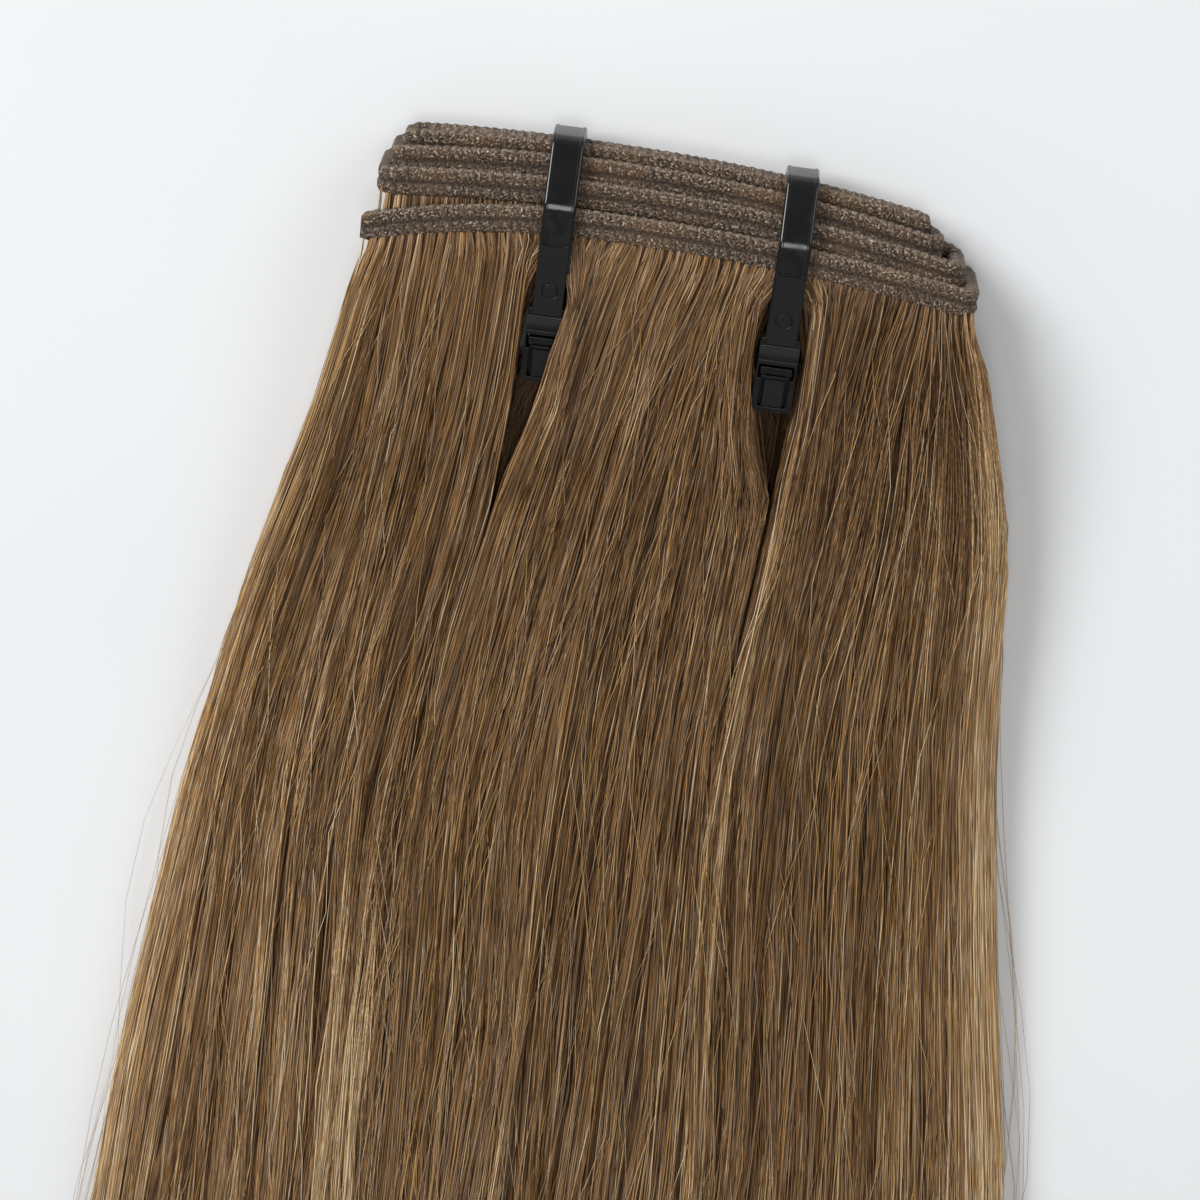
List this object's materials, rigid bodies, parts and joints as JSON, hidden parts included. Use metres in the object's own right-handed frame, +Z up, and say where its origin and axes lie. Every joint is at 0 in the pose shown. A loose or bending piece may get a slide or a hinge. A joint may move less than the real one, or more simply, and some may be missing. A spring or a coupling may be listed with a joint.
{
  "type": "weft hair extension with tie straps",
  "caption": "Long straight hair extension on a thin weft that is rolled flat and held by plastic tie straps, lying face up on a surface.",
  "frame": {"origin": "middle of the whole outline, on the surface that it lies on", "axes": "+X along the weft, +Y from the tips of the hair towards the weft, +Z up from the surface"},
  "size_m": [0.1764, 0.469, 0.0177],
  "materials": {
    "weft": "fine stitched strip, taupe with pale specks, matt",
    "hair": "straight brown hair with golden strands, paler towards the tips, silky",
    "tie": "black moulded nylon, glossy strap and matt neck"
  },
  "bodies": {
    "root": {"weft_band": "weft", "hair_layer_1": "hair", "hair_layer_2": "hair", "hair_layer_3": "hair", "hair_layer_4": "hair", "hair_layer_5": "hair", "hair_layer_6": "hair", "hair_layer_7": "hair", "hair_layer_8": "hair", "left_tie": "tie", "right_tie": "tie"}
  },
  "joints": []
}
